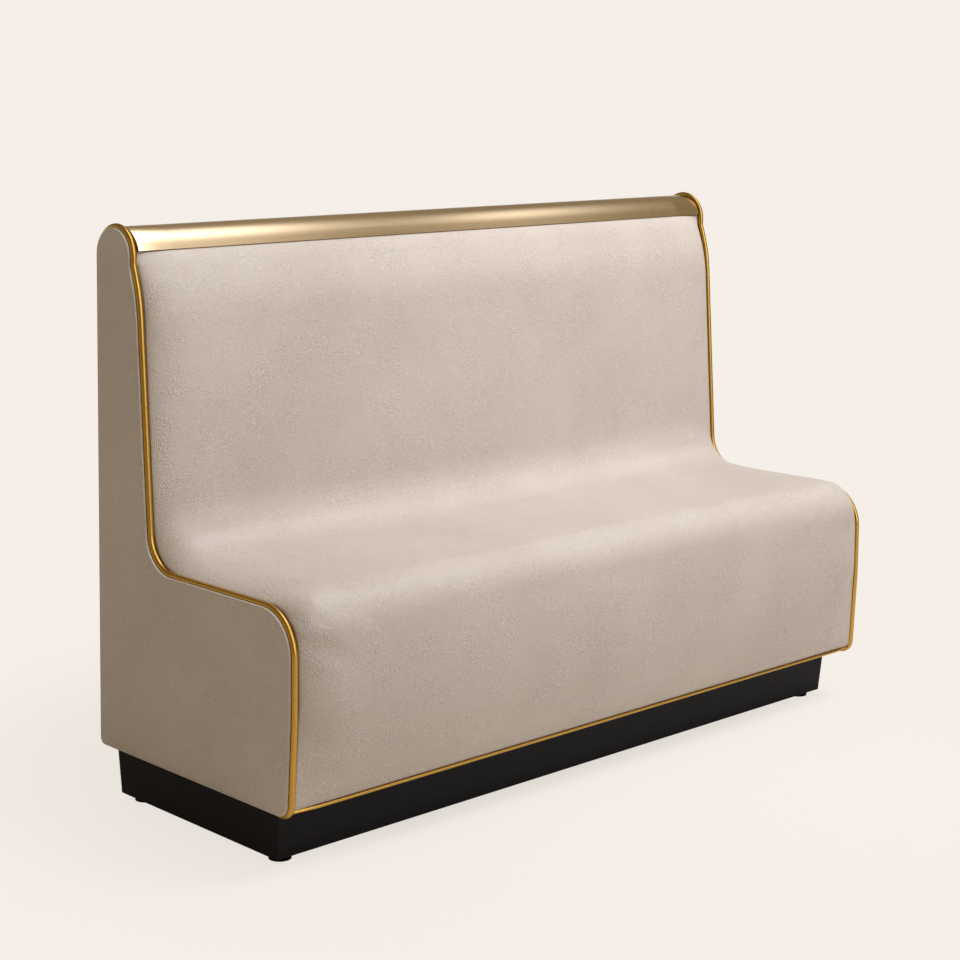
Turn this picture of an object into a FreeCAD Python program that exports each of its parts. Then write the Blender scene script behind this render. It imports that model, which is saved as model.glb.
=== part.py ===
import FreeCAD, Part
import math
import os

# A single-sided restaurant booth bench: one long upholstered pad between two flat end panels,
# with piping round the end panels, a brass-tone cap rail and a black plinth on levelling feet.
#
# X runs along the bench, -Y is the front where people sit, and +Z is up.
# The origin is on the floor, under the middle of the bench.
# "Forward" is measured from the flat back, "up" from the underside of the bench body,
# and "along" from the middle of the bench.

Vector = FreeCAD.Vector

# Whole bench
overall_length = 1555.0
overall_height = 1067.0
plinth_height = 95.0
foot_height = 12.0

# Profile of the end panels, followed by the middle of the piping
neck_forward = 101.0
kink_below_top = 66.0
kink_radius = 20.0
shoulder_below_kink = 56.0
shoulder_radius = 300.0
back_rake_deg = 3.83
crease_forward = 152.0
crease_radius = 67.0
seat_line_up = 350.0
front_line_forward = 552.5
nose_radius = 77.0
bulge_up = 175.0
bulge_radius = 600.0
bottom_draw_in = 8.5
bottom_radius = 25.0

# Upholstered pad
pad_swell = 14.0
edge_sink = 4.5
edge_roll_width = 70.0
kink_swell_share = 0.33
skin_thickness = 1.5
soft_gap = 0.3
back_foam_depth = 40.0
seat_foam_depth = 80.0
front_foam_depth = 25.0
neck_foam_depth = 8.0
pad_top_tuck = 20.0
pad_bottom_up = 6.0
pad_bottom_draw_in = 6.5
pad_bottom_radius = 16.0
edge_steps = 3

# End panels
panel_foam = 5.0
panel_edge_radius = 4.0
panel_edge_steps = 2
panel_edge_inset = 1.0
panel_heel_radius = 14.0
end_board_thickness = 18.0
edge_wrap_thickness = 1.2

# Piping
piping_radius = 6.0
piping_sides = 12
piping_seat_gap = 0.3
piping_tail_angle_deg = 27.0
piping_tail_length = 4.0
front_piping_radius = 3.0
front_piping_gap = 0.1

# Clearance of hard pieces that are laid side by side
fit_gap = 0.1

# Cap rail
cap_radius = 52.5
cap_wall = 2.0
cap_lip_rise = 11.5
cap_lip_reach = 7.0
cap_end_gap = 3.4
cap_end_chamfer = 1.0
cap_core_tongue_width = 36.0
cap_core_tongue_depth = 12.0

# Outside back
back_cover_thickness = 1.5
back_cover_flange = 20.0
back_panel_thickness = 5.0

# Timber frame
board_thickness = 12.0
rib_thickness = 18.0
rib_spacing_share = 0.25
top_rail_height = 40.0
seat_front_rail_depth = 35.0
seat_front_rail_height = 60.0
seat_rear_rail_depth = 35.0
seat_rear_rail_height = 45.0
bottom_front_rail_depth = 40.0
bottom_rear_rail_depth = 45.0
bottom_rail_height = 45.0
tenon_length = 12.0
tenon_shoulder = 10.0
vent_radius = 20.0
vent_forward_share = 0.5
vent_along_shares = [-0.375, -0.125, 0.125, 0.375]

# Plinth
plinth_board = 18.0
plinth_end_inset = 28.0
plinth_front_inset = 63.5
plinth_rear_forward = 14.0
plinth_end_draw_in = 4.0
plinth_front_draw_in = 9.0
plinth_rear_draw_in = 7.0
plinth_arris = 1.2
stretcher_thickness = 18.0
corner_block_width = 50.0
corner_block_height = 60.0

# Levelling feet
foot_radius = 20.0
foot_inset = 32.0
foot_play = 0.3
stem_radius = 5.0
stem_reach = 40.0
stem_play = 0.3

# Overrun of a cutting tool past the piece that it cuts
overrun = 5.0

# Sizes that follow from those above
body_base = foot_height + plinth_height
half_length = overall_length / 2
rear_y = (front_line_forward + pad_swell) / 2
rake = math.radians(back_rake_deg)
dome_radius = neck_forward / 2
dome_top_up = overall_height - body_base - piping_radius
dome_centre_up = dome_top_up - dome_radius
kink_up = dome_top_up - kink_below_top
shoulder_up = kink_up - shoulder_below_kink
inside_half = half_length - panel_foam - end_board_thickness
piping_along = half_length - panel_foam - piping_radius - fit_gap
pad_half = piping_along - piping_radius - piping_seat_gap
bottom_forward = front_line_forward - bottom_draw_in
pad_bottom_forward = front_line_forward - pad_bottom_draw_in
piping_tail_forward = bottom_forward - bottom_radius - piping_tail_length
wrap_inset = piping_radius + piping_seat_gap
board_inset = wrap_inset + edge_wrap_thickness + soft_gap
frame_rear = back_cover_thickness + back_panel_thickness
plinth_front_forward = front_line_forward - plinth_front_inset
cap_centre_up = dome_top_up - cap_radius
lip_up = cap_centre_up + cap_lip_rise
frame_top_up = lip_up - skin_thickness - soft_gap
top_rail_front = neck_forward - skin_thickness - 2 * soft_gap - neck_foam_depth
top_rail_bottom = frame_top_up - top_rail_height
deck_top = seat_line_up - seat_foam_depth
deck_bottom = deck_top - board_thickness
front_face = front_line_forward - front_foam_depth
front_board_rear = front_face - board_thickness


def make_point(forward, up, along=0.0):
    """A point of the model from its distances forward, up and along."""
    return Vector(along, rear_y - forward, body_base + up)


def make_box(along_range, forward_range, up_range):
    """A square-cut piece between two distances along, forward and up."""
    corner = make_point(forward_range[1], up_range[0], along_range[0])
    length = along_range[1] - along_range[0]
    depth = forward_range[1] - forward_range[0]
    height = up_range[1] - up_range[0]
    return Part.makeBox(length, depth, height, corner)


def turn_to(before, after):
    """Signed angle from one direction to the next; positive turns left, into the bench's hollow side."""
    cross = before[0] * after[1] - before[1] * after[0]
    dot = before[0] * after[0] + before[1] * after[1]
    return math.atan2(cross, dot)


def direction_between(start, end):
    """Unit direction from one (forward, up) corner to the next."""
    length = math.hypot(end[0] - start[0], end[1] - start[1])
    return ((end[0] - start[0]) / length, (end[1] - start[1]) / length)


def offset_corners(corners, distance):
    """The same open outline moved outwards, on the left of its direction, with its bends kept concentric."""
    moved = []
    last = len(corners) - 1
    for index, (forward, up, radius) in enumerate(corners):
        before = direction_between(corners[max(index - 1, 0)], corners[max(index, 1)])
        after = direction_between(corners[min(index, last - 1)], corners[min(index + 1, last)])
        turn = turn_to(before, after)
        along = distance * math.tan(turn / 2)
        new_forward = forward - distance * before[1] - along * before[0]
        new_up = up + distance * before[0] - along * before[1]
        new_radius = radius - distance * math.copysign(1, turn) if radius else radius
        moved.append((new_forward, new_up, new_radius))
    return moved


def rounded_edges(corners, closed=False):
    """Lines and tangent arcs along a list of (forward, up, radius) corners."""
    count = len(corners)
    joints = []
    for index, (forward, up, radius) in enumerate(corners):
        at = make_point(forward, up)
        if radius == 0 or (not closed and index in (0, count - 1)):
            joints.append((at, None, at))
            continue
        before = direction_between(corners[index - 1], corners[index])
        after = direction_between(corners[index], corners[(index + 1) % count])
        half_turn = abs(turn_to(before, after)) / 2
        cut = radius * math.tan(half_turn)
        start = make_point(forward - cut * before[0], up - cut * before[1])
        end = make_point(forward + cut * after[0], up + cut * after[1])
        middle_cut = radius / math.cos(half_turn) - radius
        chord_middle = (start + end) / 2
        middle = at + (chord_middle - at).normalize() * middle_cut
        joints.append((start, middle, end))
    edges = []
    for index, (start, middle, end) in enumerate(joints):
        if middle is not None:
            edges.append(Part.Arc(start, middle, end).toShape())
        following = joints[(index + 1) % count]
        is_last = index == count - 1
        gap = following[0] - end
        if (closed or not is_last) and gap.Length > Part.Precision.confusion() * overall_length:
            edges.append(Part.makeLine(end, following[0]))
    return edges


def extrude_outline(corners, along_from, along_to):
    """A flat board cut to a closed rounded outline, between two distances along the bench."""
    wire = Part.Wire(rounded_edges(corners, closed=True))
    board = Part.Face(wire).extrude(Vector(along_to - along_from, 0, 0))
    board.translate(Vector(along_from, 0, 0))
    return board


def mirror_along(shape):
    """The matching piece at the other end of the bench."""
    return shape.mirror(Vector(0, 0, 0), Vector(1, 0, 0))


def back_line(up, depth=0.0):
    """How far forward the raked back lies at a height, or a surface at some depth behind it."""
    return crease_forward - (up - seat_line_up) * math.tan(rake) - depth / math.cos(rake)


def seat_profile(swell=0.0):
    """Corners of the back, seat and front; swell moves the upholstery out towards the sitter."""
    seat_up = seat_line_up + swell
    return [
        (neck_forward + kink_swell_share * swell, kink_up, kink_radius),
        (back_line(shoulder_up, -swell), shoulder_up, shoulder_radius),
        (back_line(seat_up, -swell), seat_up, crease_radius - swell),
        (front_line_forward + swell, seat_up, nose_radius + swell),
        (front_line_forward + swell, bulge_up, bulge_radius),
    ]


def edge_line():
    """Middle line of the piping: over the dome, down the back, along the seat and under the front."""
    dome = [
        (0.0, dome_centre_up, 0.0),
        (0.0, dome_top_up, dome_radius),
        (neck_forward, dome_top_up, dome_radius),
    ]
    return dome + seat_profile() + [(bottom_forward, 0.0, bottom_radius), (piping_tail_forward, 0.0, 0.0)]


def board_corners(inset):
    """Closed outline inside the piping, stepped up over its tail and level with the frame behind."""
    back_step = piping_tail_forward - piping_seat_gap
    corners = offset_corners(edge_line(), -inset)
    corners[-1] = (back_step, inset, 0.0)
    return corners + [(back_step, 0.0, 0.0), (frame_rear, 0.0, 0.0), (frame_rear, dome_centre_up, 0.0)]


def face_corners(inset):
    """Closed outline of an end panel's face, which ends at the outside back and has a rounded heel."""
    corners = offset_corners(edge_line(), -panel_edge_inset - inset)
    front, top_up, _ = corners[2]
    dome_radius_here = (front - inset) / 2
    dome = [(inset, top_up, dome_radius_here), (front, top_up, dome_radius_here)]
    bottom = [(corners[-2][0], inset, bottom_radius - inset), (inset, inset, panel_heel_radius - inset)]
    return dome + corners[3:-2] + bottom


def piping_path():
    """Wire along the piping's middle, which starts partly down the back of the dome."""
    angle = math.radians(piping_tail_angle_deg)
    half_angle = (angle + math.pi / 2) / 2
    tail, halfway = [
        make_point(dome_radius - dome_radius * math.cos(bend), dome_centre_up + dome_radius * math.sin(bend))
        for bend in (angle, half_angle)
    ]
    top = make_point(dome_radius, dome_top_up)
    rest = [(dome_radius, dome_top_up, 0.0)] + edge_line()[2:]
    return Part.Wire([Part.Arc(tail, halfway, top).toShape()] + rounded_edges(rest))


def make_end_piping():
    """Piping along the left end panel's profile, with as many sides as make it look round."""
    path = piping_path()
    first = path.OrderedEdges[0]
    start = first.valueAt(first.FirstParameter)
    heading = first.tangentAt(first.FirstParameter)
    sideways = Vector(piping_radius, 0, 0)
    turn = FreeCAD.Rotation(heading, 360 / piping_sides)
    ring = [start + sideways]
    for _ in range(piping_sides - 1):
        sideways = turn.multVec(sideways)
        ring.append(start + sideways)
    piping = path.makePipeShell([Part.makePolygon(ring + ring[:1])], True, True)
    piping.translate(Vector(-piping_along, 0, 0))
    return piping


def make_front_piping():
    """Thin piping under the pad's bottom front edge, from one end piping to the other."""
    corners = pad_corners(pad_swell)
    before = direction_between(corners[-3], corners[-2])
    half_turn = turn_to(before, (-1, 0)) / 2
    bend_forward = pad_bottom_forward - pad_bottom_radius * abs(math.tan(half_turn))
    bend_up = pad_bottom_up + pad_bottom_radius
    diagonal = (pad_bottom_radius + front_piping_radius + front_piping_gap) * math.sqrt(0.5)
    length = 2 * (piping_along - piping_radius - fit_gap)
    start = make_point(bend_forward + diagonal, bend_up - diagonal, -length / 2)
    return Part.makeCylinder(front_piping_radius, length, start, Vector(1, 0, 0))


def make_end_board():
    """Plywood end board with mortises for the rails."""
    outer = -half_length + panel_foam
    board = extrude_outline(board_corners(board_inset), outer, outer + end_board_thickness)
    for name in rail_sections():
        board = board.cut(make_tenons(name))
    return board


def make_end_face():
    """Padded face of the left end panel, its rim rounded in small steps."""
    sections = []
    for step in range(panel_edge_steps + 1):
        angle = math.pi / 2 * step / panel_edge_steps
        inset = panel_edge_radius * (1 - math.sin(angle))
        sections.append((panel_edge_radius * (1 - math.cos(angle)), inset))
    sections.append((panel_foam, 0.0))
    wires = []
    for depth, inset in sections:
        wire = Part.Wire(rounded_edges(face_corners(inset), closed=True))
        wire.translate(Vector(depth - half_length, 0, 0))
        wires.append(wire)
    return Part.makeLoft(wires, True, True)


def make_end_cover():
    """The padded face with its wrap round the end board's edge, under the piping."""
    wrap_outer = offset_corners(edge_line(), -wrap_inset)
    wrap_inner = offset_corners(edge_line(), -wrap_inset - edge_wrap_thickness)
    wrap = extrude_outline(wrap_outer + wrap_inner[::-1], panel_foam - half_length, -pad_half - soft_gap)
    return make_end_face().fuse(wrap)


def pad_corners(swell):
    """Outline of the pad's cover, from its tuck under the cap rail to its tuck under the front board."""
    start = [(neck_forward - pad_top_tuck, lip_up, 0.0), (neck_forward, lip_up, 0.0)]
    end = [
        (pad_bottom_forward, pad_bottom_up, pad_bottom_radius),
        (front_board_rear + soft_gap, pad_bottom_up, 0.0),
    ]
    return start + seat_profile(swell) + end


def pad_stations(first_distance):
    """Distances from the pad's end, with its swell there: a stepped quarter ellipse up to the full swell."""
    stations = []
    for step in range(edge_steps + 1):
        angle = math.pi / 2 * step / edge_steps
        swell = (pad_swell + edge_sink) * math.sin(angle) - edge_sink
        stations.append((edge_roll_width * (1 - math.cos(angle)), swell))
    for (near, low), (far, high) in zip(stations, stations[1:]):
        if near <= first_distance < far:
            first_swell = low + (high - low) * (first_distance - near) / (far - near)
    return [(first_distance, first_swell)] + [place for place in stations if place[0] > first_distance]


def loft_along(make_section, stations):
    """A soft body through sections at both halves of the bench, straight between its edge rolls."""
    places = [(distance - pad_half, swell) for distance, swell in stations]
    places += [(pad_half - distance, swell) for distance, swell in reversed(stations)]
    wires = []
    for along, swell in places:
        wire = Part.Wire(make_section(swell))
        wire.translate(Vector(along, 0, 0))
        wires.append(wire)
    return Part.makeLoft(wires, True, True)


def cover_section(swell):
    """Thin closed section of the pad's cover."""
    outer = pad_corners(swell)
    inner = offset_corners(outer, -skin_thickness)
    outer_edges = rounded_edges(outer)
    inner_edges = rounded_edges(inner)
    close_end = Part.makeLine(make_point(*outer[-1][:2]), make_point(*inner[-1][:2]))
    close_start = Part.makeLine(make_point(*inner[0][:2]), make_point(*outer[0][:2]))
    return outer_edges + [close_end] + inner_edges[::-1] + [close_start]


def make_pad_cover():
    """One-piece vinyl cover, trimmed where it would run into the end boards' edges."""
    cover = loft_along(cover_section, pad_stations(0.0))
    keep_off = board_corners(board_inset - soft_gap)
    for side in (-1, 1):
        cover = cover.cut(extrude_outline(keep_off, side * (inside_half - soft_gap), side * half_length))
    return cover


def foam_section(swell):
    """Closed section of all the pad's foam, against the timber frame behind it."""
    face = offset_corners(pad_corners(swell), -skin_thickness - soft_gap)
    rail_face = top_rail_front + soft_gap
    front = front_face + soft_gap
    seat = deck_top + soft_gap
    back_depth = back_foam_depth - soft_gap
    top = top_rail_bottom - soft_gap
    face[0] = (rail_face, face[0][1], 0.0)
    face[-1] = (front, face[-1][1], 0.0)
    behind = [
        (front, seat, 0.0),
        (back_line(seat, back_depth), seat, 0.0),
        (back_line(top, back_depth), top, 0.0),
        (rail_face, top, 0.0),
    ]
    return rounded_edges(face + behind, closed=True)


def make_foams():
    """Back, seat and front foam: one body, eased at its ends, mitred at the crease and cut at the deck."""
    stations = pad_stations(pad_half - inside_half + soft_gap)
    foam = loft_along(foam_section, stations[:1] + stations[2:])
    corner_forward = back_line(deck_top, back_foam_depth)
    reach = overall_height
    level = make_box((-half_length, half_length), (-reach, reach), (-reach, deck_top))
    front_foam = foam.common(level)
    above = foam.cut(level)
    mitre = make_mitre_tool(corner_forward, reach)
    back_foam = above.common(mitre)
    seat_foam = above.cut(mitre)
    return back_foam, seat_foam, front_foam


def make_mitre_tool(corner_forward, reach):
    """Everything behind the diagonal that runs up and forward from the foot of the back board."""
    points = [
        make_point(corner_forward, deck_top, -half_length),
        make_point(corner_forward + reach, deck_top + reach, -half_length),
        make_point(corner_forward - reach, deck_top + reach, -half_length),
        make_point(corner_forward - reach, deck_top, -half_length),
    ]
    face = Part.Face(Part.makePolygon(points + points[:1]))
    return face.extrude(Vector(overall_length, 0, 0))


def rail_sections():
    """Cross-sections of the timber rails, as forward and up ranges."""
    seat_rear = back_line(deck_top, back_foam_depth + board_thickness)
    return {
        "back_top_rail": ((frame_rear, top_rail_front), (top_rail_bottom, frame_top_up)),
        "seat_front_rail": ((front_board_rear - seat_front_rail_depth, front_board_rear),
                            (deck_bottom - seat_front_rail_height, deck_bottom)),
        "seat_rear_rail": ((seat_rear, seat_rear + seat_rear_rail_depth),
                           (deck_bottom - seat_rear_rail_height, deck_bottom)),
        "bottom_front_rail": ((front_board_rear - bottom_front_rail_depth, front_board_rear),
                              (0.0, bottom_rail_height)),
        "bottom_rear_rail": ((frame_rear, frame_rear + bottom_rear_rail_depth),
                             (0.0, bottom_rail_height)),
    }


def make_tenons(name):
    """The part of a rail that enters both end boards, with a shoulder all round."""
    forward_range, up_range = rail_sections()[name]
    half = inside_half + tenon_length
    return make_box((-half, half), (forward_range[0] + tenon_shoulder, forward_range[1] - tenon_shoulder),
                    (up_range[0] + tenon_shoulder, up_range[1] - tenon_shoulder))


def make_rail(name):
    """One timber rail between the end boards, tenoned into them."""
    forward_range, up_range = rail_sections()[name]
    rail = make_box((-inside_half, inside_half), forward_range, up_range)
    return rail.fuse(make_tenons(name))


def rib_places():
    """Middles of the ribs along the bench."""
    step = rib_spacing_share * 2 * inside_half
    return {"rib_left": -step, "rib_middle": 0.0, "rib_right": step}


def make_rib(along):
    """Plywood rib that gives the bench its profile, notched round the rails."""
    rear = back_line(deck_top, back_foam_depth + board_thickness)
    top = back_line(top_rail_bottom, back_foam_depth + board_thickness)
    outline = [
        (frame_rear, top_rail_bottom, 0.0), (top, top_rail_bottom, 0.0), (rear, deck_top, 0.0),
        (rear, deck_bottom, 0.0), (front_board_rear, deck_bottom, 0.0), (front_board_rear, 0.0, 0.0),
        (frame_rear, 0.0, 0.0),
    ]
    rib = extrude_outline(outline, along - rib_thickness / 2, along + rib_thickness / 2)
    for forward_range, up_range in rail_sections().values():
        rib = rib.cut(make_box((-inside_half, inside_half), forward_range, up_range))
    return rib


def make_back_board():
    """Raked plywood board behind the back foam, standing on the seat deck."""
    behind = back_foam_depth + board_thickness
    outline = [
        (back_line(top_rail_bottom, back_foam_depth), top_rail_bottom, 0.0),
        (back_line(deck_top, back_foam_depth), deck_top, 0.0),
        (back_line(deck_top, behind), deck_top, 0.0),
        (back_line(top_rail_bottom, behind), top_rail_bottom, 0.0),
    ]
    return extrude_outline(outline, -inside_half, inside_half)


def make_seat_deck():
    """Plywood deck under the seat foam, with vent holes between the ribs."""
    rear = back_line(deck_top, back_foam_depth + board_thickness)
    deck = make_box((-inside_half, inside_half), (rear, front_face), (deck_bottom, deck_top))
    forward = rear + vent_forward_share * (front_face - rear)
    for share in vent_along_shares:
        start = make_point(forward, deck_bottom - overrun, share * 2 * inside_half)
        deck = deck.cut(Part.makeCylinder(vent_radius, board_thickness + 2 * overrun, start))
    return deck


def make_front_board():
    """Plywood board behind the front foam, its lower edge inside the cover's fold."""
    bottom = pad_bottom_up + skin_thickness + soft_gap
    return make_box((-inside_half, inside_half), (front_board_rear, front_face), (bottom, deck_bottom))


def make_back_panel():
    """Thin plywood outside back, over the rear edges of frame and end boards."""
    half = half_length - panel_foam
    return make_box((-half, half), (back_cover_thickness, frame_rear), (0.0, dome_centre_up))


def make_outside_back_cover():
    """Flat vinyl on the outside back, folded over the top rail under the cap rail."""
    half = half_length - panel_foam
    sheet = make_box((-half, half), (0.0, back_cover_thickness), (0.0, frame_top_up))
    flange = make_box((-inside_half, inside_half), (0.0, back_cover_flange),
                      (frame_top_up, frame_top_up + back_cover_thickness))
    return sheet.fuse(flange).removeSplitter()


def half_round(radius, bottom_up, half):
    """A round bar along the bench, cut level underneath."""
    start = make_point(cap_radius, cap_centre_up, -half)
    bar = Part.makeCylinder(radius, 2 * half, start, Vector(1, 0, 0))
    under = make_box((-half - overrun, half + overrun), (-cap_radius, 3 * cap_radius),
                     (cap_centre_up - 2 * cap_radius, bottom_up))
    return bar.cut(under)


def make_cap_rail():
    """Half-round metal rail with inward lips and softly cut ends."""
    half = piping_along - piping_radius - cap_end_gap
    lip_bottom = lip_up + soft_gap
    lip_top = lip_bottom + cap_wall
    outside = half_round(cap_radius, lip_bottom, half)
    ends = [edge for edge in outside.Edges
            if abs(abs(edge.CenterOfMass.x) - half) < fit_gap and isinstance(edge.Curve, Part.Circle)]
    outside = outside.makeChamfer(cap_end_chamfer, ends)
    inside = half_round(cap_radius - cap_wall, lip_top, half + overrun)
    lip_half = math.sqrt(cap_radius ** 2 - cap_lip_rise ** 2) - cap_lip_reach
    slot = make_box((-half - overrun, half + overrun), (cap_radius - lip_half, cap_radius + lip_half),
                    (lip_bottom - overrun, lip_top + overrun))
    return outside.cut(inside).cut(slot)


def make_core_tongue():
    """The tongue under the rail core, which stands in a groove of the top rail."""
    forward_range = (cap_radius - cap_core_tongue_width / 2, cap_radius + cap_core_tongue_width / 2)
    up_range = (frame_top_up - cap_core_tongue_depth, cap_centre_up + cap_lip_rise + cap_wall + overrun)
    return make_box((-inside_half, inside_half), forward_range, up_range)


def make_rail_core():
    """Rounded timber inside the cap rail, with a tongue down into the top rail."""
    bottom = lip_up + soft_gap + cap_wall + soft_gap
    core = half_round(cap_radius - cap_wall - soft_gap, bottom, inside_half)
    return core.fuse(make_core_tongue()).removeSplitter()


def plinth_corner(side, front, depth, at_bottom):
    """A corner of the plinth's tapered box, at some depth inside its outer faces."""
    along = half_length - plinth_end_inset - depth
    forward = plinth_front_forward - depth if front else plinth_rear_forward + depth
    up = 0.0
    if at_bottom:
        along -= plinth_end_draw_in
        forward += -plinth_front_draw_in if front else plinth_rear_draw_in
        up = -plinth_height
    return make_point(forward, up, side * along)


def plinth_face(first, second, depth, pull):
    """A board's outline at a depth inside its outer face, its ends pulled in from the plinth's corners."""
    rows = []
    for at_bottom in (False, True):
        start, end = [plinth_corner(*corner, depth, at_bottom) for corner in (first, second)]
        inward = (end - start).normalize() * pull
        rows.append([start + inward, end - inward])
    ring = rows[0] + rows[1][::-1]
    return Part.makePolygon(ring + ring[:1])


def make_plinth_board(first, second):
    """One leaning plinth board, mitred into its neighbours and with its upright edges eased."""
    sections = [(0.0, plinth_arris), (plinth_arris / 2, 0.0), (plinth_board, 0.0)]
    return Part.makeLoft([plinth_face(first, second, depth, pull) for depth, pull in sections], True, True)


def plinth_inside():
    """The tapered space inside the plinth boards."""
    rings = []
    for at_bottom in (False, True):
        points = [plinth_corner(side, front, plinth_board, at_bottom)
                  for side, front in ((-1, True), (1, True), (1, False), (-1, False))]
        rings.append(Part.makePolygon(points + points[:1]))
    return Part.makeLoft(rings, True, True)


def make_plinth_stretchers():
    """Cross members of the plinth, one under each rib."""
    stretchers = []
    for along in rib_places().values():
        bar = make_box((along - stretcher_thickness / 2, along + stretcher_thickness / 2),
                       (0.0, front_line_forward), (-plinth_height, 0.0))
        stretchers.append(bar.common(plinth_inside()))
    return Part.makeCompound(stretchers)


def foot_places():
    """Middles of the four levelling feet, at the floor, named by where they stand."""
    places = {}
    for side, side_name in ((-1, "left"), (1, "right")):
        for front, front_name in ((True, "front"), (False, "rear")):
            at = plinth_corner(side, front, foot_inset, True)
            places[front_name + "_" + side_name] = (side, front, Vector(at.x, at.y, 0))
    return places


def make_corner_blocks():
    """Hardwood blocks in the plinth's corners, bored for the feet's stems."""
    blocks = []
    for side, front, at in foot_places().values():
        outer = plinth_corner(side, front, 0.0, False)
        inner = plinth_corner(side, front, plinth_board + corner_block_width, True)
        low = Vector(min(outer.x, inner.x), min(outer.y, inner.y), foot_height)
        block = Part.makeBox(abs(outer.x - inner.x), abs(outer.y - inner.y), corner_block_height, low)
        bore = Part.makeCylinder(stem_radius + stem_play, corner_block_height, Vector(at.x, at.y, foot_height))
        blocks.append(block.common(plinth_inside()).cut(bore))
    return Part.makeCompound(blocks)


def make_foot_base(at):
    """Round base of a levelling foot."""
    return Part.makeCylinder(foot_radius, foot_height - foot_play, at)


def make_foot_stem(at):
    """Threaded stem of a levelling foot, drawn as a plain rod on top of the base."""
    return Part.makeCylinder(stem_radius, stem_reach, at + Vector(0, 0, foot_height - foot_play))


def make_parts():
    """Every piece of the bench, by node name."""
    parts = {}
    parts["end_board_left"] = make_end_board()
    parts["end_board_right"] = mirror_along(parts["end_board_left"])
    parts["end_cover_left"] = make_end_cover()
    parts["end_cover_right"] = mirror_along(parts["end_cover_left"])
    parts["piping_left"] = make_end_piping()
    parts["piping_right"] = mirror_along(parts["piping_left"])
    parts["piping_front_bottom"] = make_front_piping()
    parts["pad_cover"] = make_pad_cover()
    parts["back_foam"], parts["seat_foam"], parts["front_foam"] = make_foams()
    parts["back_board"] = make_back_board()
    parts["seat_deck"] = make_seat_deck()
    parts["front_board"] = make_front_board()
    for name, along in rib_places().items():
        parts[name] = make_rib(along)
    parts["back_top_rail"] = make_rail("back_top_rail").cut(make_core_tongue())
    parts["seat_front_rail"] = make_rail("seat_front_rail")
    parts["seat_rear_rail"] = make_rail("seat_rear_rail")
    parts["bottom_front_rail"] = make_rail("bottom_front_rail")
    parts["bottom_rear_rail"] = make_rail("bottom_rear_rail")
    parts["back_panel"] = make_back_panel()
    parts["outside_back_cover"] = make_outside_back_cover()
    parts["cap_rail"] = make_cap_rail()
    parts["rail_core"] = make_rail_core()
    front_left, front_right, rear_right, rear_left = (-1, True), (1, True), (1, False), (-1, False)
    parts["plinth_front"] = make_plinth_board(front_left, front_right)
    parts["plinth_rear"] = make_plinth_board(rear_right, rear_left)
    parts["plinth_left"] = make_plinth_board(rear_left, front_left)
    parts["plinth_right"] = make_plinth_board(front_right, rear_right)
    parts["plinth_stretchers"] = make_plinth_stretchers()
    parts["corner_blocks"] = make_corner_blocks()
    for name, (side, front_side, at) in foot_places().items():
        parts["foot_base_" + name] = make_foot_base(at)
        parts["foot_stem_" + name] = make_foot_stem(at)
    return parts


os.makedirs("parts", exist_ok=True)
for node, piece in make_parts().items():
    piece.exportStep("parts/" + node + ".step")
    print(node, "valid" if piece.isValid() else "NOT VALID", len(piece.Solids), "solids", round(piece.Volume))
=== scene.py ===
# %% [markdown]
# # A restaurant booth bench
# One long upholstered pad runs down the back, over the seat and down the front. It lies between
# two flat end panels that are edged with gold piping, under a brass rail and on a black plinth.
# The CAD model is loaded first. It stays where it is, and everything made here is fitted to it.

# %% Loading the CAD model
import bmesh
import bpy
import math
from mathutils import Matrix, Quaternion, Vector
from mathutils.kdtree import KDTree


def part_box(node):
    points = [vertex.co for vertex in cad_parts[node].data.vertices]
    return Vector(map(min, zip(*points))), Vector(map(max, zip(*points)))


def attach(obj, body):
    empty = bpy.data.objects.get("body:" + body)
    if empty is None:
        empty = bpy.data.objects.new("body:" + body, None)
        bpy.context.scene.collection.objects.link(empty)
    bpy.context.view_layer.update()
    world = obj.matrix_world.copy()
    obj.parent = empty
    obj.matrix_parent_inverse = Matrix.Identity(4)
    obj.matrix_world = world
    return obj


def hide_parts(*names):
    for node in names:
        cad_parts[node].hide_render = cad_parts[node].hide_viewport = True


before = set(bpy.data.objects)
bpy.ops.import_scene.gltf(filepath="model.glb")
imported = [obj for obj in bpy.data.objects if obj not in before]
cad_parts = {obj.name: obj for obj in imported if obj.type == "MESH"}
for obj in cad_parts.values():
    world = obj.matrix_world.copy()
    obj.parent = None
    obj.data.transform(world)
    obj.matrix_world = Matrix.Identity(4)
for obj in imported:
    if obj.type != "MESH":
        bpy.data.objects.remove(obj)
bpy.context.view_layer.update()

# %% [markdown]
# The sizes below are those of the CAD source, in millimetres. "Forward" is measured from the flat
# back, "up" from the underside of the bench's body and "along" from the middle of the bench.
# One function turns them into Blender's metres.

# %% Sizes and places
MM = 0.001
HALF_LENGTH = 777.5
REAR_Y = 283.25
BODY_BASE = 107.0

NECK_FORWARD = 101.0
DOME_RADIUS = NECK_FORWARD / 2
DOME_TOP_UP = 954.0
KINK_UP = 888.0
KINK_RADIUS = 20.0
SHOULDER_UP = 832.0
SHOULDER_RADIUS = 300.0
RAKE = math.radians(3.83)
CREASE_FORWARD = 152.0
CREASE_RADIUS = 67.0
SEAT_UP = 350.0
FRONT_FORWARD = 552.5
NOSE_RADIUS = 77.0
BULGE_UP = 175.0
BULGE_RADIUS = 600.0
BOTTOM_FORWARD = 544.0
BOTTOM_RADIUS = 25.0


def place(forward, up, along=0.0):
    """A point of the bench in metres."""
    return Vector((along, REAR_Y - forward, BODY_BASE + up)) * MM


print("Nose of the bench at", place(FRONT_FORWARD, SEAT_UP))

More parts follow.
